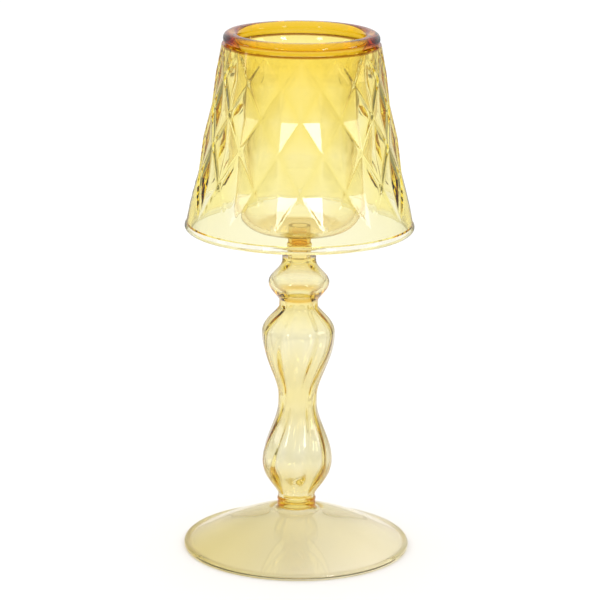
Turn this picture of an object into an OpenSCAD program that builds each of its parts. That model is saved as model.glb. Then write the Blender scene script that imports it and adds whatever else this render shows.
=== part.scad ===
// Tealight holder of blown amber glass, shaped like a small table lamp.
// A faceted shade and a candle cup hang from one thick rim ring. A post, a hollow knop and two
// hollow bulbs carry the cup on a domed foot. All pieces are flame-sealed face to face.
// Millimetres, +Z up, origin at the centre of the foot's underside.

/* [Overall] */
// Height from the table to the top of the rim ring
total_h = 200; // [190:1:210]
// Wall thickness of the blown stem and foot
wall = 1.6; // [1.2:0.1:2.0]

/* [Rim ring] */
// Outer diameter of the rim ring
rim_d = 58.6; // [58:0.2:61]
// Width of the ring's section, measured along the radius
rim_w = 5.8; // [5.6:0.1:6.6]
// Height of the ring's section
rim_h = 4.7; // [4:0.1:5.4]

/* [Shade] */
// Diameter of the shade under the rim ring
shade_top_d = 59.4; // [59:0.2:61]
// Diameter of the shade at its lower edge
shade_low_d = 85.4; // [80:0.2:90]
// Height of the shade from the lower edge to the rim ring
shade_h = 67.8; // [62:0.2:72]
// Inward sweep of the shade's side halfway down
shade_sweep = 0.2; // [0:0.1:1]
// Height of the plain band below the facets
band_h = 4.5; // [3:0.1:8]
// Number of facet columns
facet_columns = 14; // [10:1:18]
// Depth of each facet's centre below the surface
facet_depth = 1.4; // [0.6:0.1:1.8]
// Wall thickness of the shade
shade_wall = 2; // [1.4:0.1:2.2]
// Diameter of the round section of the hem bead
hem_d = 3.2; // [3:0.1:4]

/* [Candle cup] */
// Inner diameter of the cup, for a 38 to 40 mm tealight
cup_d = 44; // [42:0.5:45]
// Wall thickness of the cup
cup_wall = 1.6; // [1.4:0.1:2]
// Outer radius of the cup's rounded bottom corner
cup_corner_r = 10; // [6:0.5:12]

/* [Stem] */
// Diameter of the post just under the cup
post_d = 8.6; // [8:0.2:10]
// Diameter of the knop
knop_d = 23; // [20:0.2:26]
// Diameter of the upper bulb
upper_bulb_d = 28; // [24:0.2:32]
// Diameter of the lower bulb
lower_bulb_d = 26.8; // [24:0.2:30]
// Diameter of the stem at its waists
waist_d = 14.8; // [14:0.1:16]

/* [Foot] */
// Diameter of the foot
foot_d = 86.6; // [80:0.2:92]
// Diameter of the round section of the foot's edge bead
foot_edge_d = 2.4; // [2.2:0.1:3.2]
// Height of the foot's dome where it meets the neck
foot_dome_h = 14.4; // [11:0.2:14.6]

/* [Hidden] */
$fn = 96;

// Glass colours: thick amber, thin amber and nearly clear amber
DEEP = [0.86, 0.55, 0.08, 0.8];
AMBER = [0.96, 0.83, 0.35, 0.6];
PALE = [0.95, 0.90, 0.62, 0.5];

// The rim ring's underside is ground flat at this height above its lowest point
seat_lift = 0.3;

// Levels along the axis, as shares of the total height
rim_seat_z = total_h - rim_h + seat_lift;
hem_seat_z = rim_seat_z - shade_h;
foot_neck_z = 0.078 * total_h;
collar_top_z = 0.099 * total_h;
lower_belly_z = 0.172 * total_h;
bulb_joint_z = 0.295 * total_h;
upper_belly_z = 0.423 * total_h;
knop_low_z = 0.482 * total_h;
knop_belly_z = 0.5235 * total_h;
knop_top_z = 0.573 * total_h;
cup_low_z = 0.623 * total_h;

// Radii that several pieces share
rim_r = rim_d / 2;
rim_in_r = rim_r - rim_w;
rim_round_r = rim_h / 2;
waist_r = waist_d / 2;
post_r = post_d / 2;
cup_r = cup_d / 2;
cup_out_r = cup_r + cup_wall;
knop_top_r = 6.4;
collar_r = 7.1;
hem_r = hem_d / 2;
foot_edge_r = foot_edge_d / 2;

// The foot's edge bead: how much of its radius is left under its centre once it is ground flat,
// and the share of its width that stands outside the dish
edge_ground_share = 0.9;
edge_outside_share = 0.85;
foot_edge_z = edge_ground_share * foot_edge_r;
foot_joint_r = foot_d / 2 - edge_outside_share * foot_edge_d;

// Steps along a blown curve, and how soon a shoulder swells: 1 is even, and less is sooner
curve_steps = 20;
round_shoulder = 0.65;
full_shoulder = 0.71;
ripe_shoulder = 0.76;
soft_shoulder = 0.86;
even_shoulder = 1;
slim_shoulder = 1.09;
inner_shoulder = 0.95;

// Height of the plain stretch of a neck, on either side of a waist
neck_h = 1.2;

// How the dome of the foot falls away towards its edge: 1 is a straight cone
dome_power = 1.25;

// Wall thickness of the narrow post, and of the stem at its waists, where the glass gathers
post_wall = 1.3;
waist_wall = 2.2;

// The knop's neck closes in to this wall thickness, so that the post stands on it
knop_top_wall = 3.2;

// How far a cut runs past the face that it opens
overrun = 0.1;

// A smooth rise from 0 to 1 as t goes from 0 to 1; fullness under 1 swells early
function swell(t, fullness) = (1 - cos(180 * pow(t, fullness))) / 2;

// Points of a blown curve from one level and radius to another
function blown(z0, r0, z1, r1, fullness) =
    [for (i = [0 : curve_steps])
        let (t = i / curve_steps)
        [r0 + (r1 - r0) * swell(t, fullness), z0 + (z1 - z0) * t]];

// The same points from last to first, without the first ones that are skipped
function reversed(points, skipped = 0) =
    [for (i = [len(points) - 1 - skipped : -1 : 0]) points[i]];

// The curve of a bulb, from [level, radius, fullness] at its low neck, belly and high neck:
// up a plain neck, out to the belly, and back to the other plain neck
function bulb(low, belly, high) =
    concat([[low[1], low[0]]],
           blown(low[0] + neck_h, low[1], belly[0], belly[1], low[2]),
           reversed(blown(high[0] - neck_h, high[1], belly[0], belly[1], high[2]), 1),
           [[high[1], high[0]]]);

// A level, radius and fullness of the inner wall: the radius is less by a wall thickness, and the
// glass gathers under a full shoulder
function thinned(p, t) = [p[0], p[1] - t, max(p[2], inner_shoulder)];

// A hollow bulb with one wall thickness at each neck and the stem's wall at its belly
module blown_bulb(low, low_wall, belly, high, high_wall) {
    rotate_extrude()
        polygon(concat(bulb(low, belly, high),
                       reversed(bulb(thinned(low, low_wall), thinned(belly, wall),
                                     thinned(high, high_wall)))));
}

// ---- Rim ring ----

// The flat seat starts this far inside the ring's outer and inner radius
seat_out_inset = 0.3;
seat_in_inset = 0.6;

module rim_ring() {
    low_z = rim_seat_z;
    mid_z = total_h - rim_round_r;
    seat_in_r = rim_in_r + seat_in_inset;
    seat_out_r = rim_r - seat_out_inset;
    color(DEEP)
        rotate_extrude() {
            difference() {
                union() {
                    translate([rim_in_r + rim_round_r, mid_z]) circle(r = rim_round_r);
                    translate([rim_r - rim_round_r, mid_z]) circle(r = rim_round_r);
                    translate([rim_in_r + rim_round_r, total_h - rim_h])
                        square([rim_w - rim_h, rim_h]);
                    translate([seat_in_r, low_z]) square([seat_out_r - seat_in_r, mid_z - low_z]);
                }
                translate([0, low_z - rim_h]) square([rim_d, rim_h]);
            }
        }
}

// ---- Shade ----

// Facet levels down the shade, as shares of the faceted height
facet_levels = [0, 0.172, 0.364, 0.558, 0.778, 1];
facet_rows = len(facet_levels) - 1;
facet_h = shade_h - band_h;
ring_points = 2 * facet_columns;

// Radius of the smooth shade surface at a depth below the rim ring
function shade_r(depth) =
    shade_top_d / 2 + (shade_low_d - shade_top_d) / 2 * depth / shade_h
    - shade_sweep * sin(180 * depth / shade_h);

// A level's depth below the rim ring; the last one is the lower edge
function level_depth(i) = i <= facet_rows ? facet_levels[i] * facet_h : shade_h;

// Ridge crossings stand at every other point of a level, and facet centres between them
function is_crossing(i, j) = (i + j) % 2 == 0;
function is_dimple(i, j) = i > 0 && i < facet_rows && !is_crossing(i, j);

// The inner wall is nearly smooth: it follows the facets by this share of their depth
inner_share = 0.2;

// One ring of points on the facets, or on the inner wall at an inset from them
function shade_ring(i, inset, depth) =
    [for (j = [0 : ring_points - 1])
        let (r = shade_r(level_depth(i)) - inset - (is_dimple(i, j) ? depth : 0),
             a = 360 * j / ring_points - 90)
        [r * cos(a), r * sin(a), rim_seat_z - level_depth(i)]];

// Two triangles between neighbouring rings, split along the ridge
function shade_quad(a, b, c, d, ridge) = ridge ? [[a, c, b], [a, d, c]] : [[a, d, b], [b, d, c]];

module shade() {
    levels = facet_rows + 2;
    outer = [for (i = [0 : levels - 1]) each shade_ring(i, 0, facet_depth)];
    inner = [for (i = [0 : levels - 1]) each shade_ring(i, shade_wall, inner_share * facet_depth)];
    first_inner = len(outer);
    function at(i, j) = i * ring_points + j % ring_points;
    outer_faces = [for (i = [0 : levels - 2], j = [0 : ring_points - 1])
        each shade_quad(at(i, j), at(i, j + 1), at(i + 1, j + 1), at(i + 1, j), is_crossing(i, j))];
    inner_faces = [for (f = outer_faces) [f[2] + first_inner, f[1] + first_inner, f[0] + first_inner]];
    top_faces = [for (j = [0 : ring_points - 1])
        each [[at(0, j), at(0, j + 1), first_inner + at(0, j + 1)],
              [at(0, j), first_inner + at(0, j + 1), first_inner + at(0, j)]]];
    low_faces = [for (j = [0 : ring_points - 1])
        let (last = levels - 1)
        each [[at(last, j + 1), at(last, j), first_inner + at(last, j)],
              [at(last, j + 1), first_inner + at(last, j), first_inner + at(last, j + 1)]]];
    color(AMBER)
        polyhedron(concat(outer, inner), concat(outer_faces, inner_faces, top_faces, low_faces));
}

// The hem bead's centre hangs this share of its radius under the shade's lower edge
hem_drop = 0.75;

module shade_hem() {
    centre_r = shade_low_d / 2 - shade_wall / 2;
    centre_z = hem_seat_z - hem_drop * hem_r;
    color(AMBER)
        rotate_extrude()
            difference() {
                translate([centre_r, centre_z]) circle(r = hem_r);
                translate([0, hem_seat_z]) square([shade_low_d, hem_d]);
            }
}

// ---- Candle cup ----

module candle_cup() {
    lip_flare = 2;
    lip_h = 8;
    open_z = rim_seat_z + overrun;
    side_low_z = cup_low_z + cup_corner_r;
    in_corner_r = cup_corner_r - cup_wall;
    lip_low_z = rim_seat_z - lip_h;
    color(AMBER)
        difference() {
            rotate_extrude() {
                translate([0, cup_low_z]) square([cup_out_r - cup_corner_r, cup_corner_r]);
                translate([0, side_low_z]) square([cup_out_r, lip_low_z - side_low_z]);
                intersection() {
                    translate([cup_out_r - cup_corner_r, side_low_z]) circle(r = cup_corner_r);
                    translate([0, cup_low_z]) square([cup_out_r, cup_corner_r]);
                }
                polygon(concat([[0, rim_seat_z], [0, lip_low_z]],
                               blown(lip_low_z, cup_out_r, rim_seat_z, cup_out_r + lip_flare,
                                     even_shoulder)));
            }
            rotate_extrude() {
                translate([0, cup_low_z + cup_wall]) square([cup_r - in_corner_r, in_corner_r]);
                translate([cup_r - in_corner_r, side_low_z]) circle(r = in_corner_r);
            }
            translate([0, 0, side_low_z]) cylinder(r = cup_r, h = open_z - side_low_z);
            rotate_extrude()
                polygon(concat([[0, open_z], [0, lip_low_z]],
                               blown(lip_low_z, cup_r, open_z, cup_r + lip_flare, even_shoulder)));
        }
}

// ---- Stem ----

module cup_post() {
    color(AMBER)
        rotate_extrude()
            translate([post_r - post_wall, knop_top_z]) square([post_wall, cup_low_z - knop_top_z]);
}

module post_rings() {
    ring_r = 0.75;
    ring_sink = 0.25;
    ring_lift = 3;
    low_ring_z = knop_top_z + ring_lift;
    color(DEEP)
        for (i = [0 : 1])
            rotate_extrude()
                difference() {
                    translate([post_r - ring_sink, low_ring_z + 2 * i * ring_r])
                        circle(r = ring_r);
                    square([post_r, total_h]);
                }
}

module stem_knop() {
    color(AMBER)
        blown_bulb([knop_low_z, waist_r, ripe_shoulder], waist_wall,
                   [knop_belly_z, knop_d / 2, even_shoulder],
                   [knop_top_z, knop_top_r, slim_shoulder], knop_top_wall);
}

module upper_bulb() {
    color(PALE)
        blown_bulb([bulb_joint_z, waist_r, soft_shoulder], waist_wall,
                   [upper_belly_z, upper_bulb_d / 2, even_shoulder],
                   [knop_low_z, waist_r, full_shoulder], waist_wall);
}

module lower_bulb() {
    color(PALE)
        blown_bulb([collar_top_z, collar_r, round_shoulder], wall,
                   [lower_belly_z, lower_bulb_d / 2, even_shoulder],
                   [bulb_joint_z, waist_r, even_shoulder], waist_wall);
}

// ---- Foot ----

// The collar's two rings are sunk into its wall by this share of their radius
collar_ring_sink = 0.7;

module foot_collar() {
    ring_r = (collar_top_z - foot_neck_z) / 4;
    ring_centre_r = collar_r - collar_ring_sink * ring_r;
    color(DEEP)
        rotate_extrude() {
            translate([collar_r - wall, foot_neck_z]) square([wall, collar_top_z - foot_neck_z]);
            for (z = [foot_neck_z + ring_r, collar_top_z - ring_r])
                intersection() {
                    translate([ring_centre_r, z]) circle(r = ring_r);
                    translate([collar_r - wall, z - ring_r]) square([2 * wall, 2 * ring_r]);
                }
        }
}

// Degrees between the points of the fillet under the neck
fillet_step = 15;

// One face of the dish: a dome from the edge to the shoulder, then a fillet up to the neck
function dish_face(edge_z, dome_z, shoulder_r, neck_r) =
    concat(
        [for (i = [0 : curve_steps - 1])
            let (t = 1 - i / curve_steps)
            [shoulder_r + (foot_joint_r - shoulder_r) * t,
             dome_z - (dome_z - edge_z) * pow(t, dome_power)]],
        [for (a = [0 : fillet_step : 90])
            [shoulder_r - (shoulder_r - neck_r) * sin(a),
             foot_neck_z - (foot_neck_z - dome_z) * cos(a)]]);

module foot_dish() {
    edge_rise = 0.65;
    edge_top_z = foot_edge_z + edge_rise * foot_edge_r;
    edge_h = 1.4;
    fillet_r = 3.1;
    color(PALE)
        rotate_extrude()
            polygon(concat(
                dish_face(edge_top_z, foot_dome_h, collar_r + fillet_r, collar_r),
                reversed(dish_face(edge_top_z - edge_h, foot_dome_h - wall,
                                   collar_r - wall + fillet_r, collar_r - wall))));
}

module foot_edge() {
    color(PALE)
        rotate_extrude()
            intersection() {
                translate([foot_d / 2 - foot_edge_r, foot_edge_z]) circle(r = foot_edge_r);
                translate([foot_joint_r, 0]) square([foot_edge_d, foot_edge_d]);
            }
}

rim_ring();
shade();
shade_hem();
candle_cup();
cup_post();
post_rings();
stem_knop();
upper_bulb();
lower_bulb();
foot_collar();
foot_dish();
foot_edge();
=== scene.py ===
import math

import bpy
import numpy as np
from mathutils import Matrix, Vector

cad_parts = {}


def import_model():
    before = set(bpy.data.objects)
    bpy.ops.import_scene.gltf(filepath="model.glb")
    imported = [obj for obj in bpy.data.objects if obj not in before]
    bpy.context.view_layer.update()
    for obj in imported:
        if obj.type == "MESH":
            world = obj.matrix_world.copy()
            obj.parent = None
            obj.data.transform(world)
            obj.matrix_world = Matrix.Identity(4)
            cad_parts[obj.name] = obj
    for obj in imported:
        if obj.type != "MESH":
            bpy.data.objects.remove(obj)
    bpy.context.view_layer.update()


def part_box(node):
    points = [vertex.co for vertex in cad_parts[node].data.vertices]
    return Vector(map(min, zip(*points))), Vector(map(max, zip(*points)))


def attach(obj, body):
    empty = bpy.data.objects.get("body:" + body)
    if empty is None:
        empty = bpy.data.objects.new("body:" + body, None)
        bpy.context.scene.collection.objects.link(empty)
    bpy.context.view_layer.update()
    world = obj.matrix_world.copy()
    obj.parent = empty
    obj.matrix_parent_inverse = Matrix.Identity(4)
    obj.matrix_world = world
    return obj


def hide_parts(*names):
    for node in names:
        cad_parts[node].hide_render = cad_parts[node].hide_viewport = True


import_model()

# ---------------------------------------------------------------- sizes, in metres

MM = 0.001
GAP = 0.02 * MM  # glass pieces are drawn this far apart, so that no two faces lie in one place
SEGMENTS = 192  # sides of a solid of revolution
SMALL_SEGMENTS = 96
SHARP_DEGREES = 32  # an edge that turns by more than this is drawn sharp
LEVEL_TOLERANCE = 1e-6  # points this close in height are at the same level
LONG_STEPS, SHORT_STEPS = 11, 7  # mesh steps along a straight wall
BULB_STEPS = 24  # and from a neck to a belly
WALL = 1.6 * MM

RIM_IN_R = 23.5 * MM
RIM_TUBE_R = 2.35 * MM
RIM_SIDE_WAVE, RIM_TOP_WAVE = 0.05 * MM, 0.04 * MM  # how uneven the hand-made ring is
RIM_SIDE_DIPS, RIM_TOP_DIPS = 2, 3
RIM_SIDE_START, RIM_TOP_START = 0.7, 1.9  # radians

SHADE_TOP_R = 29.7 * MM
SHADE_WALL = 2.0 * MM
SHADE_SWEEP = 0.2 * MM  # how far the side bows in
BAND_H = 4.5 * MM  # the plain band under the facets
BAND_STEPS = 5
LEVELS = (0, 0.172, 0.364, 0.558, 0.778, 1)  # facet rows, as shares of the faceted height
COLUMNS = 28  # facet corners round the shade, two for each diamond
FINE = 12  # mesh steps along the side of a facet
FACET_DEPTH = 1.4 * MM
INNER_SHARE = 0.2  # how much of that depth the inner wall follows
SMOOTHING = 0.5  # how far a point moves to the mean of its neighbours
RIDGE_LIFT = 0.1 * MM
HEM_R = 1.6 * MM

CUP_R = 22.0 * MM
CUP_FLAT_R = 6.0 * MM  # the flat in the middle of the bottom
CUP_CORNER = 10.0 * MM
LIP_H = 8.0 * MM
LIP_FLARE = 2.0 * MM

POST_WALL = 1.3 * MM
POST_RING_R = 0.75 * MM
WAIST_R = 7.4 * MM
WAIST_WALL = 2.2 * MM
KNOP_TOP_R = 6.4 * MM
KNOP_TOP_WALL = 3.2 * MM
NECK_H = 1.2 * MM  # the plain stretch on either side of a waist
LOWER_BELLY_Z, UPPER_BELLY_Z, KNOP_BELLY_Z = 34.4 * MM, 84.6 * MM, 104.7 * MM
ROUND, FULL, RIPE, SOFT, EVEN, SLIM = 0.65, 0.71, 0.76, 0.86, 1, 1.09  # shoulders, fullest first
INNER_SHOULDER = 0.95  # no shoulder inside the stem is fuller than this
RIBS = 9
RIB_TWIST = 16.0  # radians per metre of height
RIB_INNER, RIB_OUTER = 0.45 * MM, 0.15 * MM
RIB_FADE = 0.7
LOWER_RIB_ANGLE, UPPER_RIB_ANGLE = 0.9, 0.3

COLLAR_R = 7.1 * MM
COLLAR_SINK = 0.7  # how far a ring's middle lies inside the collar's radius, in ring radii
COLLAR_GROOVE = 0.35  # how deep the groove between the rings is, in ring radii
DISH_DROP = 1.4 * MM
DISH_FILLET = 3.1 * MM
DOME_H = 14.4 * MM
DOME_POWER = 1.25  # 1 is a cone, and more is rounder
DOME_STEPS, FILLET_STEPS = 48, 12
EDGE_R = 1.2 * MM
EDGE_Z = 1.08 * MM
EDGE_JOINT_H = 1.86 * MM
EDGE_OVERLAP = 4  # degrees of the bead's arc that the dish takes over
TABLE_GAP = 0.08 * MM


def top_of(node):
    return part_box(node)[1].z


def bottom_of(node):
    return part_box(node)[0].z


def radius_of(node):
    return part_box(node)[1].x


# ---------------------------------------------------------------- mesh helpers


def make_object(name, verts, faces):
    mesh = bpy.data.meshes.new(name)
    mesh.from_pydata([tuple(v) for v in verts], [], faces)
    mesh.validate()
    mesh.shade_smooth()
    obj = bpy.data.objects.new(name, mesh)
    bpy.context.scene.collection.objects.link(obj)
    return obj


def mark_sharp(obj):
    """The edges where two faces meet at an angle are sharp."""
    mesh = obj.data
    normals = {}
    for p in mesh.polygons:
        for key in p.edge_keys:
            normals.setdefault(key, []).append(p.normal)
    limit = math.radians(SHARP_DEGREES)
    for e in mesh.edges:
        pair = normals[e.key]
        if len(pair) == 2 and pair[0].angle(pair[1], 0) > limit:
            e.use_edge_sharp = True


def mark_ends(obj, *levels):
    """The edges that lie at the given heights are sharp."""
    co = np.array([v.co.z for v in obj.data.vertices])
    at = np.zeros(len(co), bool)
    for z in levels:
        at |= abs(co - z) < LEVEL_TOLERANCE
    for e in obj.data.edges:
        if at[e.vertices[0]] and at[e.vertices[1]]:
            e.use_edge_sharp = True


def revolve(name, profile, shift=None, segments=SEGMENTS):
    """A solid of revolution. The profile runs counterclockwise in (radius, height): it is a closed
    loop, or it starts and ends on the axis. shift(angles, radius, height) returns a small move
    along the radius and along Z for each angle."""
    profile = [(float(r), float(z)) for r, z in profile]
    on_axis = profile[0][0] == 0
    angles = np.linspace(0, 2 * math.pi, segments, endpoint=False)
    verts, rings = [], []
    for r, z in profile:
        if r == 0:
            rings.append(len(verts))
            verts.append((0, 0, z))
            continue
        dr, dz = shift(angles, r, z) if shift else (0, 0)
        radius, height = r + dr + 0 * angles, z + dz + 0 * angles
        rings.append(np.arange(segments) + len(verts))
        verts.extend(zip(radius * np.cos(angles), radius * np.sin(angles), height))
    faces = []
    last = len(rings) - 1 if on_axis else len(rings)
    for i in range(last):
        a, b = rings[i], rings[(i + 1) % len(rings)]
        for j in range(segments):
            k = (j + 1) % segments
            if isinstance(a, int):
                faces.append((a, int(b[k]), int(b[j])))
            elif isinstance(b, int):
                faces.append((int(a[j]), int(a[k]), b))
            else:
                faces.append((int(a[j]), int(a[k]), int(b[k]), int(b[j])))
    obj = make_object(name, verts, faces)
    mark_sharp(obj)
    return obj


def arc(r, z, radius, start, end, steps):
    """Points of an arc in (radius, height), from one angle to another, in degrees."""
    return [
        (r + radius * math.cos(math.radians(a)), z + radius * math.sin(math.radians(a)))
        for a in np.linspace(start, end, steps)
    ]


def swell(t, fullness):
    return (1 - math.cos(math.pi * t**fullness)) / 2


def blown(z0, r0, z1, r1, fullness):
    return [
        (r0 + (r1 - r0) * swell(t, fullness), z0 + (z1 - z0) * t)
        for t in np.linspace(0, 1, BULB_STEPS + 1)
    ]


def bulb(low, belly, high):
    """The curve of a bulb from (height, radius, fullness) at its neck, belly and other neck."""
    up = blown(low[0], low[1], belly[0], belly[1], low[2])
    down = blown(high[0], high[1], belly[0], belly[1], high[2])
    return up + down[::-1][1:]


# ---------------------------------------------------------------- rim ring


def rim_ring():
    low, top, out_r = bottom_of("rim_ring"), top_of("rim_ring"), radius_of("rim_ring")
    mid = top - RIM_TUBE_R
    flat = math.degrees(math.asin((mid - low - GAP) / RIM_TUBE_R))
    outer = arc(out_r - RIM_TUBE_R, mid, RIM_TUBE_R, -flat, 90, steps=20)
    inner = arc(RIM_IN_R + RIM_TUBE_R, mid, RIM_TUBE_R, 90, 180 + flat, steps=20)

    def uneven(angles, r, z):
        """Shallow dips round the outside and along the top."""
        side = RIM_SIDE_WAVE * (1 + np.sin(RIM_SIDE_DIPS * angles + RIM_SIDE_START))
        height = RIM_TOP_WAVE * (1 + np.sin(RIM_TOP_DIPS * angles + RIM_TOP_START))
        return -side * (r > RIM_IN_R + RIM_TUBE_R), -height * (z > mid)

    return revolve("rim_ring_glass", outer + inner, uneven)


# ---------------------------------------------------------------- shade


def on_ridge(row, column, s, t):
    """Whether a mesh point lies on a facet's crest, which runs across the cell (row, column)."""
    return t == s if (row + column) % 2 == 0 else s + t == FINE


def shade_face(top, high, low_r, inset, dimple, lift):
    """One face of the shade's wall, as rows of points. Every second corner of the grid is pushed
    in by dimple, which makes the diamonds, and the crests between them are lifted."""
    facet_h = high - BAND_H
    rows = len(LEVELS) - 1
    angles = 2 * math.pi * np.arange(COLUMNS * FINE) / FINE / COLUMNS - math.pi / 2

    def cone(depth):
        t = depth / high
        return SHADE_TOP_R + (low_r - SHADE_TOP_R) * t - SHADE_SWEEP * np.sin(math.pi * t) - inset

    def corner(i, j):
        depth = LEVELS[i] * facet_h
        dimpled = 0 < i < rows and (i + j) % 2
        r = cone(depth) - dimple if dimpled else cone(depth)
        a = 2 * math.pi * j / COLUMNS - math.pi / 2
        return np.array((r * math.cos(a), r * math.sin(a), top - depth)), dimpled

    def facet_point(i, j, s, t):
        """The point at shares (s, t) of the cell (i, j), which is split into two triangles."""
        if (i + j) % 2 == 0:
            if t >= s:
                parts = ((i, j, 1 - t), (i, j + 1, t - s), (i + 1, j + 1, s))
            else:
                parts = ((i, j, 1 - s), (i + 1, j + 1, t), (i + 1, j, s - t))
        elif s + t <= 1:
            parts = ((i, j, 1 - s - t), (i, j + 1, t), (i + 1, j, s))
        else:
            parts = ((i + 1, j + 1, s + t - 1), (i, j + 1, 1 - s), (i + 1, j, 1 - t))
        corners = [(corner(x, y), w) for x, y, w in parts]
        if any(c[1] for c, w in corners):
            return sum(c[0] * w for c, w in corners)
        return None

    points = np.zeros((rows * FINE + 1, COLUMNS * FINE, 3))
    for a in range(rows * FINE + 1):
        i = min(a // FINE, rows - 1)
        s = a / FINE - i
        depth = (LEVELS[i] + (LEVELS[i + 1] - LEVELS[i]) * s) * facet_h
        for b, angle in enumerate(angles):
            point = facet_point(i, b // FINE, s, b / FINE - b // FINE)
            if point is None:
                r = cone(depth)
                point = (r * math.cos(angle), r * math.sin(angle), top - depth)
            points[a, b] = point
    band = [
        np.stack((cone(d) * np.cos(angles), cone(d) * np.sin(angles), 0 * angles + top - d), 1)
        for d in np.linspace(facet_h, high, BAND_STEPS + 1)[1:]
    ]
    points = np.concatenate((points, np.array(band)))
    beside = np.roll(points, 1, 1)[1:-1] + np.roll(points, -1, 1)[1:-1]
    mean = (beside + points[:-2] + points[2:]) / 4
    points[1:-1] += SMOOTHING * (mean - points[1:-1])
    if lift:
        for a in range(1, rows * FINE):
            for b in range(COLUMNS * FINE):
                if on_ridge(a // FINE, b // FINE, a % FINE, b % FINE):
                    points[a, b, :2] *= 1 + lift / np.linalg.norm(points[a, b, :2])
    return points


def shade():
    top, low, low_r = top_of("shade") - GAP, bottom_of("shade"), radius_of("shade")
    size = (top, top - low, low_r)
    outer = shade_face(*size, 0, FACET_DEPTH, RIDGE_LIFT)
    inner = shade_face(*size, SHADE_WALL, INNER_SHARE * FACET_DEPTH, 0)
    count, ring = outer.shape[:2]
    inside = count * ring
    faces = []
    for a in range(count - 1):
        i = a // FINE
        for b in range(ring):
            n = (b + 1) % ring
            quad = (a * ring + b, a * ring + n, (a + 1) * ring + n, (a + 1) * ring + b)
            if i >= len(LEVELS) - 1:
                parts = [quad]
            elif (i + b // FINE) % 2 == 0:
                parts = [(quad[0], quad[1], quad[2]), (quad[0], quad[2], quad[3])]
            else:
                parts = [(quad[0], quad[1], quad[3]), (quad[1], quad[2], quad[3])]
            for part in parts:
                faces.append(part[::-1])
                faces.append(tuple(x + inside for x in part))
    for a in (0, count - 1):
        for b in range(ring):
            n = (b + 1) % ring
            quad = (a * ring + b, a * ring + n, inside + a * ring + n, inside + a * ring + b)
            faces.append(quad if a == 0 else quad[::-1])
    obj = make_object(
        "shade_glass", np.concatenate((outer.reshape(-1, 3), inner.reshape(-1, 3))), faces
    )
    mark_ends(obj, top, low)
    return obj


def shade_hem():
    seat = top_of("shade_hem") - GAP
    centre_r = radius_of("shade_hem") - HEM_R
    centre_z = bottom_of("shade_hem") + HEM_R
    flat = math.degrees(math.asin((seat - centre_z) / HEM_R))
    bead = arc(centre_r, centre_z, HEM_R, 180 - flat, 360 + flat, steps=40)
    return revolve("shade_hem_glass", bead)


# ---------------------------------------------------------------- candle cup


def candle_cup():
    low, top = bottom_of("candle_cup"), top_of("candle_cup") - GAP
    side_low = low + CUP_CORNER
    lip_low = top - LIP_H

    def face(inset):
        r = CUP_R + WALL - inset
        return (
            [(0, low + inset), (CUP_FLAT_R, low + inset)]
            + arc(CUP_R + WALL - CUP_CORNER, side_low, CUP_CORNER - inset, -90, 0, steps=24)
            + [(r, z) for z in np.linspace(side_low, lip_low, LONG_STEPS + 1)[1:-1]]
            + blown(lip_low, r, top, r + LIP_FLARE, EVEN)
        )

    return revolve("candle_cup_glass", face(0) + face(WALL)[::-1])


# ---------------------------------------------------------------- post and stem


def cup_post():
    r = radius_of("cup_post")
    low, top = bottom_of("cup_post") + GAP, top_of("cup_post") - GAP
    heights = np.linspace(low, top, LONG_STEPS + 1)
    outer = [(r, z) for z in heights]
    inner = [(r - POST_WALL, z) for z in heights]
    return revolve("cup_post_glass", outer + inner[::-1])


def post_rings():
    post_r = radius_of("cup_post") + GAP
    centre_r = radius_of("post_rings") - POST_RING_R
    centre_z = bottom_of("post_rings") + POST_RING_R
    pitch = 2 * POST_RING_R - GAP
    cut = math.degrees(math.acos((post_r - centre_r) / POST_RING_R))
    rings = [
        revolve(
            "post_ring_%d" % i,
            arc(centre_r, centre_z + i * pitch, POST_RING_R - GAP, -cut, cut, steps=16),
            segments=SMALL_SEGMENTS,
        )
        for i in range(2)
    ]
    bpy.ops.object.select_all(action="DESELECT")
    for r in rings:
        r.select_set(True)
    bpy.context.view_layer.objects.active = rings[0]
    bpy.ops.object.join()
    rings[0].name = "post_rings_glass"
    return rings[0]


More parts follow.
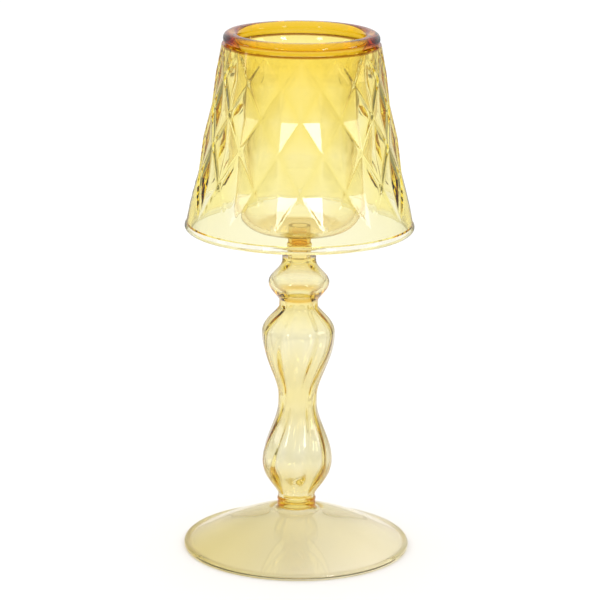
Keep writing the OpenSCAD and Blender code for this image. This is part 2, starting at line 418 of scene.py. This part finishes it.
def stem():
    """The knop and both bulbs, blown in one, with twisted optic ribs in the bulbs."""
    low, top = bottom_of("lower_bulb") + GAP, top_of("stem_knop") - GAP
    joint, waist = top_of("lower_bulb"), top_of("upper_bulb")
    lower, upper, knop = (radius_of(n) for n in ("lower_bulb", "upper_bulb", "stem_knop"))

    def curve(neck_wall, waist_wall, wall, top_wall, least):
        """One face of the stem. No shoulder on it has a fullness number under least."""
        neck_r, waist_r, top_r = COLLAR_R - neck_wall, WAIST_R - waist_wall, KNOP_TOP_R - top_wall

        def between(low_neck, belly, high_neck):
            return bulb(
                (low_neck[0] + NECK_H, low_neck[1], max(low_neck[2], least)),
                (belly[0], belly[1] - wall),
                (high_neck[0] - NECK_H, high_neck[1], max(high_neck[2], least)),
            )

        return (
            [(neck_r, low)]
            + between((low, neck_r, ROUND), (LOWER_BELLY_Z, lower), (joint, waist_r, EVEN))
            + between((joint, waist_r, SOFT), (UPPER_BELLY_Z, upper), (waist, waist_r, FULL))
            + between((waist, waist_r, RIPE), (KNOP_BELLY_Z, knop), (top, top_r, SLIM))
            + [(top_r, top)]
        )

    outer = curve(0, 0, 0, 0, 0)
    inner = curve(WALL, WAIST_WALL, WALL, KNOP_TOP_WALL, INNER_SHOULDER)
    outside = set(outer)

    def ribs(angles, r, z):
        if z < joint:
            low_z, high_z, start = low, joint, LOWER_RIB_ANGLE
        else:
            low_z, high_z, start = joint, waist, UPPER_RIB_ANGLE
        t = (z - low_z) / (high_z - low_z)
        fade = math.sin(math.pi * t) ** RIB_FADE if 0 < t < 1 else 0
        ripple = np.sin(RIBS * (angles - start - RIB_TWIST * (z - low_z)))
        if (r, z) in outside:
            return RIB_OUTER * fade * (ripple - 1), 0
        return RIB_INNER * fade * ripple, 0

    return revolve("stem_glass", outer + inner[::-1], ribs)


# ---------------------------------------------------------------- foot


def foot_collar():
    low, top = bottom_of("foot_collar") + GAP, top_of("foot_collar") - GAP
    ring_r = (top - low) / 4
    centre_r = COLLAR_R - COLLAR_SINK * ring_r
    groove_r = COLLAR_R - COLLAR_GROOVE * ring_r
    cut = math.degrees(math.acos((groove_r - centre_r) / ring_r))
    outer = [(groove_r, low)]
    for z in (low + ring_r, top - ring_r):
        outer += arc(centre_r, z, ring_r, -cut, cut, steps=14)
    outer.append((groove_r, top))
    inner = [(COLLAR_R - WALL, z) for z in np.linspace(low, top, SHORT_STEPS + 1)]
    return revolve("foot_collar_glass", outer + inner[::-1])


def dish_face(joint_r, edge_z, dome_z, shoulder_r, neck_r, neck_z):
    """One face of the dish: a dome from the edge to the shoulder, and a fillet up to the neck."""
    dome = [
        (
            shoulder_r + (joint_r - shoulder_r) * t,
            dome_z - (dome_z - edge_z) * t**DOME_POWER,
        )
        for t in np.linspace(1, 0, DOME_STEPS + 1)[:-1]
    ]
    fillet = [
        (
            shoulder_r - (shoulder_r - neck_r) * math.sin(math.radians(a)),
            neck_z - (neck_z - dome_z) * math.cos(math.radians(a)),
        )
        for a in np.linspace(0, 90, FILLET_STEPS + 1)
    ]
    return dome + fillet


def foot():
    """The dish and its rolled edge in one, just clear of the table."""
    joint_r, neck_z = radius_of("foot_dish"), top_of("foot_dish") - GAP
    joint_z = bottom_of("foot_edge") + EDGE_JOINT_H
    in_r = COLLAR_R - WALL
    outer = dish_face(joint_r, joint_z, DOME_H, COLLAR_R + DISH_FILLET, COLLAR_R, neck_z)
    inner = dish_face(
        joint_r, joint_z - DISH_DROP, DOME_H - WALL, in_r + DISH_FILLET, in_r, neck_z
    )
    centre_r = radius_of("foot_edge") - EDGE_R
    inside = math.degrees(math.acos((joint_r - centre_r) / EDGE_R))
    ground = math.degrees(math.asin((EDGE_Z - TABLE_GAP) / EDGE_R))
    bead = arc(centre_r, EDGE_Z, EDGE_R, -ground, inside - EDGE_OVERLAP, steps=40)
    under = arc(centre_r, EDGE_Z, EDGE_R, -inside, -180 + ground, steps=8)
    return revolve("foot_glass", bead + outer + inner[::-1] + under)


# ---------------------------------------------------------------- node helpers

MIX_A, MIX_B, MIX_COLOUR = 6, 7, 2  # the colour sockets of a Mix node


class Tree:
    """Short names for the nodes that the materials and the sky are made of."""

    def __init__(self, tree):
        self.nodes, self.links = tree.nodes, tree.links

    def put(self, socket, value):
        """A socket's value: a number, a colour or another node's output."""
        if isinstance(value, bpy.types.NodeSocket):
            self.links.new(value, socket)
        elif isinstance(value, tuple):
            socket.default_value = (*value, 1)
        else:
            socket.default_value = value

    def node(self, kind, **inputs):
        """A new node, with inputs given as from_min=... for the socket From Min."""
        node = self.nodes.new("ShaderNode" + kind)
        for name, value in inputs.items():
            self.put(node.inputs[name.replace("_", " ").title()], value)
        return node

    def math(self, operation, a, b, clamp=False):
        node = self.nodes.new("ShaderNodeMath")
        node.operation = operation
        node.use_clamp = clamp
        self.put(node.inputs[0], a)
        self.put(node.inputs[1], b)
        return node.outputs[0]

    def span(self, value, start, end, low=0, high=1, smooth=True):
        """A number that goes from low to high while value goes from start to end."""
        step = self.node("MapRange", value=value, from_min=start, from_max=end)
        self.put(step.inputs["To Min"], low)
        self.put(step.inputs["To Max"], high)
        step.interpolation_type = "SMOOTHSTEP" if smooth else "LINEAR"
        return step.outputs["Result"]

    def mix(self, factor, a, b):
        node = self.nodes.new("ShaderNodeMix")
        node.data_type = "RGBA"
        self.put(node.inputs["Factor"], factor)
        self.put(node.inputs[MIX_A], a)
        self.put(node.inputs[MIX_B], b)
        return node.outputs[MIX_COLOUR]

    def place(self, space="Object"):
        """The place of a point, as one vector and as its three parts."""
        coord = self.nodes.new("ShaderNodeTexCoord").outputs[space]
        split = self.nodes.new("ShaderNodeSeparateXYZ")
        self.links.new(coord, split.inputs[0])
        return coord, split.outputs

    def ramp(self, where, stops):
        """A colour that changes along one axis. stops are (millimetres, colour)."""
        low, high = stops[0][0] * MM, stops[-1][0] * MM
        blend = self.nodes.new("ShaderNodeValToRGB")
        elements = blend.color_ramp.elements
        while len(elements) > 1:
            elements.remove(elements[-1])
        for i, (distance, colour) in enumerate(stops):
            at = (distance * MM - low) / (high - low)
            element = elements[0] if i == 0 else elements.new(at)
            element.position = at
            element.color = (*colour, 1)
        self.links.new(self.span(where, low, high, smooth=False), blend.inputs["Fac"])
        return blend.outputs["Color"]

    def mirrored(self):
        """1 for a ray that a glass face mirrored, and 0 for any other."""
        path = self.nodes.new("ShaderNodeLightPath").outputs
        return self.math("SUBTRACT", path["Is Reflection Ray"], path["Is Diffuse Ray"], clamp=True)


# ---------------------------------------------------------------- glass

GLASS_IOR = 1.5
EASED_IOR = 1.2  # at the foot's thin edge, which would trap light at the full index
EASED_UP_TO, CLEAR_FROM = 0.3, 1.3  # millimetres above the table
SURFACE_SCALE = 60.0  # the soft unevenness of blown glass
SURFACE_DEPTH = 0.3 * MM
SURFACE_STRENGTH = 0.25


def glass(name, density, absorb, tints, edges, edge_from=0.35, axis="Z", eased=False):
    """Clear glass that takes colour from its depth, and at its surface from two ramps along axis:
    tints where it is seen face on, and edges where it turns away by more than edge_from. The
    edges ramp is painted shade, a darker colour that deepens the outlines past what the depth
    gives."""
    mat = bpy.data.materials.new(name)
    mat.use_nodes = True
    tree = Tree(mat.node_tree)
    bsdf = tree.nodes["Principled BSDF"]
    bsdf.inputs["Transmission Weight"].default_value = 1
    bsdf.inputs["Roughness"].default_value = 0
    bsdf.inputs["IOR"].default_value = GLASS_IOR
    coord, parts = tree.place()
    if eased:
        span = (EASED_UP_TO * MM, CLEAR_FROM * MM, EASED_IOR, GLASS_IOR)
        tree.put(bsdf.inputs["IOR"], tree.span(parts["Z"], *span, smooth=False))
    facing = tree.node("LayerWeight", blend=0.5).outputs["Facing"]
    # The edge colour is painted shade, laid over the outlines where the glass turns away.
    turned = tree.span(facing, edge_from, 1)
    face_on, painted_edge_shade = tree.ramp(parts[axis], tints), tree.ramp(parts[axis], edges)
    tree.put(bsdf.inputs["Base Color"], tree.mix(turned, face_on, painted_edge_shade))
    noise = tree.node("TexNoise", vector=coord, scale=SURFACE_SCALE, detail=1)
    bump = tree.node("Bump", strength=SURFACE_STRENGTH, distance=SURFACE_DEPTH)
    tree.put(bump.inputs["Height"], noise.outputs["Fac"])
    tree.put(bsdf.inputs["Normal"], bump.outputs["Normal"])
    volume = tree.node("VolumeAbsorption", color=absorb, density=density)
    tree.put(tree.nodes["Material Output"].inputs["Volume"], volume.outputs[0])
    return mat


# Painted shade for the outlines of the thick amber pieces, which turns the rim's ends red-brown.
THICK_EDGE_SHADE = (0.57, 0.15, 0.015)
SEAM_SHADE = (0.4, 0.18, 0.04)  # painted shade at the joint under the rim: a dark line where the rim's curved underside bends the light away
THICK = glass(
    "thick_amber",
    density=620,
    absorb=(0.965, 0.85, 0.02),
    tints=[
        (0, (0.95, 0.93, 0.9)),
        (30, (0.95, 0.93, 0.9)),
        (100, (1, 0.97, 0.85)),
        (200, (1, 0.97, 0.85)),
    ],
    edges=[(0, THICK_EDGE_SHADE), (200, THICK_EDGE_SHADE)],
    edge_from=0.6,
)
POST = glass(
    "post_amber",
    density=200,
    absorb=(0.95, 0.82, 0.1),
    tints=[
        (112, (0.97, 0.93, 0.75)),
        (117.6, (0.97, 0.93, 0.75)),
        (118.6, (0.86, 0.64, 0.24)),
        (121.8, (0.9, 0.7, 0.3)),
        (123, (1, 0.97, 0.85)),
        (126, (1, 0.99, 0.9)),
    ],
    edges=[(112, (0.6, 0.38, 0.12)), (126, (0.5, 0.25, 0.05))],
)
AMBER = glass(
    "amber_shade",
    density=250,
    absorb=(0.985, 0.9, 0.12),
    tints=[
        (124, (1, 1, 1)),
        (132, (1, 1, 1)),
        (142, (1, 0.99, 0.93)),
        (180, (1, 0.985, 0.88)),
        (194.6, (1, 0.97, 0.8)),
        (194.9, SEAM_SHADE),
        (196, SEAM_SHADE),
    ],
    edges=[
        (124, (0.94, 0.87, 0.66)),
        (150, (0.94, 0.85, 0.6)),
        (175, (0.9, 0.74, 0.4)),
        (196, (0.84, 0.62, 0.2)),
    ],
    edge_from=0.5,
)
HEM = glass(
    "pale_hem",
    density=120,
    absorb=(0.95, 0.9, 0.5),
    tints=[(124, (1, 1, 1)), (130, (1, 1, 1))],
    edges=[(124, (0.62, 0.56, 0.4)), (130, (0.62, 0.56, 0.4))],
    edge_from=0.5,
)
CUP = glass(
    "amber_cup",
    density=80,
    absorb=(0.98, 0.85, 0.12),
    tints=[
        (124, (0.9, 0.7, 0.35)),
        (124.9, (0.97, 0.9, 0.7)),
        (125.3, (1, 1, 1)),
        (150, (1, 1, 1)),
        (194.6, (1, 0.93, 0.58)),
        (194.9, SEAM_SHADE),
        (196, SEAM_SHADE),
    ],
    edges=[
        (124, (0.45, 0.2, 0.02)),
        (132, (0.5, 0.27, 0.06)),
        (140, (0.66, 0.48, 0.2)),
        (160, (0.5, 0.32, 0.09)),
        (196, (0.45, 0.26, 0.06)),
    ],
    edge_from=0.4,
)
PALE = glass(
    "pale_stem",
    density=190,
    absorb=(0.955, 0.868, 0.3),
    # Paler at the bellies, where the blown glass is thin, and deeper at the waists; the grey in
    # the bellies' stops is painted shade.
    tints=[
        (18, (0.975, 0.947, 0.837)),
        (24, (0.955, 0.917, 0.818)),
        (30, (0.925, 0.912, 0.87)),
        (40, (0.935, 0.934, 0.916)),
        (50, (0.955, 0.932, 0.846)),
        (60, (0.943, 0.912, 0.781)),
        (70, (0.945, 0.922, 0.837)),
        (85, (0.955, 0.945, 0.897)),
        (96, (0.97, 0.947, 0.809)),
        (97.8, (0.965, 0.887, 0.614)),
        (98.6, (0.895, 0.651, 0.233)),
        (99.7, (0.876, 0.67, 0.316)),
        (101, (0.935, 0.887, 0.744)),
        (104, (0.94, 0.942, 0.902)),
        (109, (0.97, 0.951, 0.893)),
        (115, (0.955, 0.887, 0.651)),
    ],
    edges=[
        (18, (0.4, 0.22, 0.07)),
        (30, (0.52, 0.42, 0.27)),
        (50, (0.3, 0.17, 0.05)),
        (60, (0.14, 0.06, 0.01)),
        (70, (0.28, 0.16, 0.04)),
        (86, (0.52, 0.42, 0.27)),
        (95, (0.46, 0.28, 0.08)),
        (98, (0.26, 0.09, 0.01)),
        (101.8, (0.26, 0.06, 0.005)),
        (104.4, (0.5, 0.3, 0.1)),
        (110, (0.3, 0.17, 0.04)),
        (115, (0.3, 0.17, 0.04)),
    ],
)
# Along X the foot is painted darker and yellower on the left, greyer in the middle and lighter and
# pinker on the right: painted shade on the left and middle, and a painted pinkish sheen on the
# right. Its edge colour runs the same way.
FOOT = glass(
    "pale_foot",
    density=270,
    absorb=(0.945, 0.89, 0.5),
    tints=[
        (-43, (0.855, 0.8, 0.575)),
        (-20, (0.845, 0.81, 0.69)),
        (0, (0.84, 0.824, 0.815)),
        (28, (0.944, 0.923, 0.925)),
        (43, (0.954, 0.938, 0.925)),
    ],
    edges=[(-43, (0.76, 0.58, 0.34)), (0, (0.82, 0.68, 0.5)), (43, (0.86, 0.72, 0.6))],
    edge_from=0.6,
    axis="X",
    eased=True,
)

# ---------------------------------------------------------------- the pieces

pieces = {
    "rim_ring": rim_ring(),
    "shade": shade(),
    "shade_hem": shade_hem(),
    "candle_cup": candle_cup(),
    "cup_post": cup_post(),
    "post_rings": post_rings(),
    "stem": stem(),
    "foot_collar": foot_collar(),
    "foot": foot(),
}
LOOKS = {
    "rim_ring": (THICK, "thick_amber_glass"),
    "shade": (AMBER, "amber_shade_glass"),
    "shade_hem": (HEM, "amber_shade_glass"),
    "candle_cup": (CUP, "amber_shade_glass"),
    "cup_post": (POST, "amber_shade_glass"),
    "post_rings": (THICK, "thick_amber_glass"),
    "stem": (PALE, "pale_stem_glass"),
    "foot_collar": (THICK, "thick_amber_glass"),
    "foot": (FOOT, "pale_foot_glass"),
}
# A piece that replaces more than the CAD node of its own name
REPLACED = {
    "stem": ("stem_knop", "upper_bulb", "lower_bulb"),
    "foot": ("foot_dish", "foot_edge"),
}
for node, piece in pieces.items():
    look, slot_name = LOOKS[node]
    piece.data.materials.clear()
    piece.data.materials.append(look)
    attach(piece, "root")
    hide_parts(*REPLACED.get(node, (node,)))

# ---------------------------------------------------------------- floor and sky

FLOOR_HALF = 15.0
FLOOR_GREY, MIRRORED_GREY, SIDE_GREY = (0.93,) * 3, (0.4,) * 3, (0.2,) * 3
FAR_FROM, FAR_TO = 0.25, 0.6  # metres from the stem, where a mirrored floor turns darker
SIDE_FROM, SIDE_TO = 0.45, 0.9  # metres to the side, where a floor seen through glass does
SIDE_SPREAD = 0.12  # the bright strip between the sides widens with the distance


def floor():
    """Pale paper. Glass mirrors and bends in a darker one, which draws the glass's outlines."""
    h = FLOOR_HALF
    obj = make_object("floor", [(-h, -h, 0), (h, -h, 0), (h, h, 0), (-h, h, 0)], [(0, 1, 2, 3)])
    mat = bpy.data.materials.new("floor_paper")
    mat.use_nodes = True
    tree = Tree(mat.node_tree)
    bsdf = tree.nodes["Principled BSDF"]
    coord, parts = tree.place()
    away = tree.nodes.new("ShaderNodeVectorMath")
    away.operation = "LENGTH"
    tree.put(away.inputs[0], coord)
    far = tree.span(away.outputs["Value"], FAR_FROM, FAR_TO)
    paper = tree.mix(tree.math("MULTIPLY", tree.mirrored(), far), FLOOR_GREY, MIRRORED_GREY)
    across = tree.math("ABSOLUTE", parts["X"], 0)
    along = tree.math("ABSOLUTE", parts["Y"], 0)
    reach = tree.math("SUBTRACT", across, tree.math("MULTIPLY", along, SIDE_SPREAD))
    through = tree.nodes.new("ShaderNodeLightPath").outputs["Is Transmission Ray"]
    side = tree.math("MULTIPLY", tree.span(reach, SIDE_FROM, SIDE_TO), through)
    tree.put(bsdf.inputs["Base Color"], tree.mix(side, paper, SIDE_GREY))
    bsdf.inputs["Roughness"].default_value = 1
    bsdf.inputs["Specular IOR Level"].default_value = 0
    obj.data.materials.append(mat)


floor()

UP_FROM, UP_TO, UP_DARK, UP_BRIGHT = 0.1, 0.8, 0.16, 1.4  # the sky brightens with height
BACK_TO = 0.65  # and behind the object, where it is the photo's white background
BEHIND_FROM, BEHIND_TO = 0.7, 0.95
MIRRORED_FRONT, MIRRORED_BACK = 0.5, 0.8  # how much of it a glass face mirrors


def world():
    sky = bpy.data.worlds.new("studio")
    bpy.context.scene.world = sky
    sky.use_nodes = True
    tree = Tree(sky.node_tree)
    background = tree.nodes["Background"]
    tree.put(background.inputs["Color"], (1, 1, 1))
    _, parts = tree.place("Generated")
    up = tree.span(parts["Z"], UP_FROM, UP_TO, UP_DARK, UP_BRIGHT)
    back = tree.span(parts["Y"], 0, BACK_TO)
    light = tree.math("MAXIMUM", up, back)
    share = tree.span(parts["Y"], BEHIND_FROM, BEHIND_TO, MIRRORED_FRONT, MIRRORED_BACK)
    dim = tree.span(tree.mirrored(), 0, 1, 1, share, smooth=False)
    tree.put(background.inputs["Strength"], tree.math("MULTIPLY", light, dim))
    sky.cycles.sampling_method = "NONE"


world()

# ---------------------------------------------------------------- lights

AIM = Vector((0, 0, 0.15))
LIGHT_DISTANCE = 1.6
# Name, azimuth from the camera's side towards +X, elevation, width, height and radiance
SOFTBOXES = (
    ("right_key", 34, 21, 0.24, 0.3, 14),
    ("left_key", -34, 21, 0.24, 0.3, 9),
    ("right_side", 82, 15, 0.4, 0.3, 4),
    ("left_side", -88, 12, 0.3, 0.3, 2.5),
)


def softbox(name, azimuth, elevation, width, height, radiance):
    light = bpy.data.lights.new(name, "AREA")
    light.shape = "RECTANGLE"
    light.size, light.size_y = width, height
    light.energy = radiance * math.pi * width * height  # watts
    obj = bpy.data.objects.new(name, light)
    bpy.context.scene.collection.objects.link(obj)
    a, e = math.radians(azimuth), math.radians(elevation)
    out = Vector((math.sin(a) * math.cos(e), -math.cos(a) * math.cos(e), math.sin(e)))
    place = AIM + LIGHT_DISTANCE * out
    obj.matrix_world = Matrix.Translation(place) @ out.to_track_quat("Z", "Y").to_matrix().to_4x4()
    obj.visible_diffuse = False


for lamp in SOFTBOXES:
    softbox(*lamp)

# ---------------------------------------------------------------- camera and render

CAMERA_PLACE = (0, -1065.1 * MM, 372.9 * MM)
PITCH, ROLL = math.radians(14.505), math.radians(0.65)
LENS, SENSOR = 174, 36  # millimetres
CLIP_END = 100
SHIFT_X = 0.0021
BOUNCES, GLOSSY_BOUNCES, DIFFUSE_BOUNCES = 32, 16, 4
CLAMP = 8

camera_data = bpy.data.cameras.new("camera")
camera_data.sensor_width = SENSOR
camera_data.lens = LENS
camera_data.clip_end = CLIP_END
camera_data.shift_x = SHIFT_X
camera = bpy.data.objects.new("camera", camera_data)
bpy.context.scene.collection.objects.link(camera)
camera.matrix_world = (
    Matrix.Translation(CAMERA_PLACE)
    @ Matrix.Rotation(math.pi / 2 - PITCH, 4, "X")
    @ Matrix.Rotation(ROLL, 4, "Z")
)
bpy.context.scene.camera = camera

scene = bpy.context.scene
scene.view_settings.view_transform = "Standard"
scene.view_settings.look = "None"
scene.cycles.max_bounces = BOUNCES
scene.cycles.transmission_bounces = BOUNCES
scene.cycles.glossy_bounces = GLOSSY_BOUNCES
scene.cycles.diffuse_bounces = DIFFUSE_BOUNCES
scene.cycles.transparent_max_bounces = BOUNCES
scene.cycles.caustics_reflective = True
scene.cycles.caustics_refractive = True
scene.cycles.blur_glossy = 0
scene.cycles.sample_clamp_indirect = CLAMP
scene.cycles.use_denoising = True
